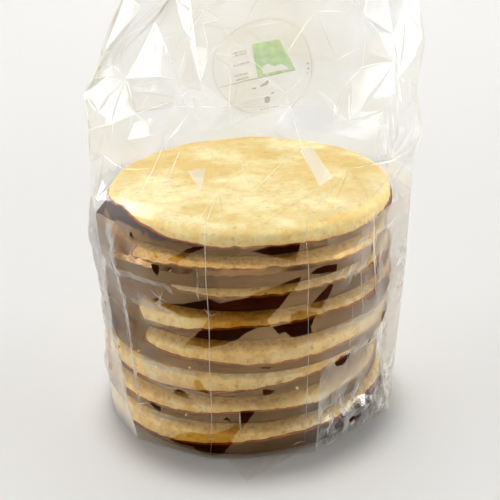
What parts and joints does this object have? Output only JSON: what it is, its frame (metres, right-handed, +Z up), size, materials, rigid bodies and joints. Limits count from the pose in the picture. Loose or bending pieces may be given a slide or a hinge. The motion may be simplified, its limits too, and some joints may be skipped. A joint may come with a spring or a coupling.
{
  "type": "clear bag of chocolate-dipped shortbread",
  "caption": "Clear block-bottom film bag standing upright round a stack of round shortbreads, each dipped in dark chocolate on base and side.",
  "frame": {"origin": "on the surface that the bag stands on, below the middle of the bag's box", "axes": "+Z up the stack of biscuits, -Y towards the viewer in front, +X to the viewer's right"},
  "size_m": [0.0974, 0.0898, 0.165],
  "materials": {
    "film_over_biscuits": "clear, crisp, creased film over chocolate and shortbread"
  },
  "bodies": {
    "root": {"bag": "film_over_biscuits"}
  },
  "joints": []
}
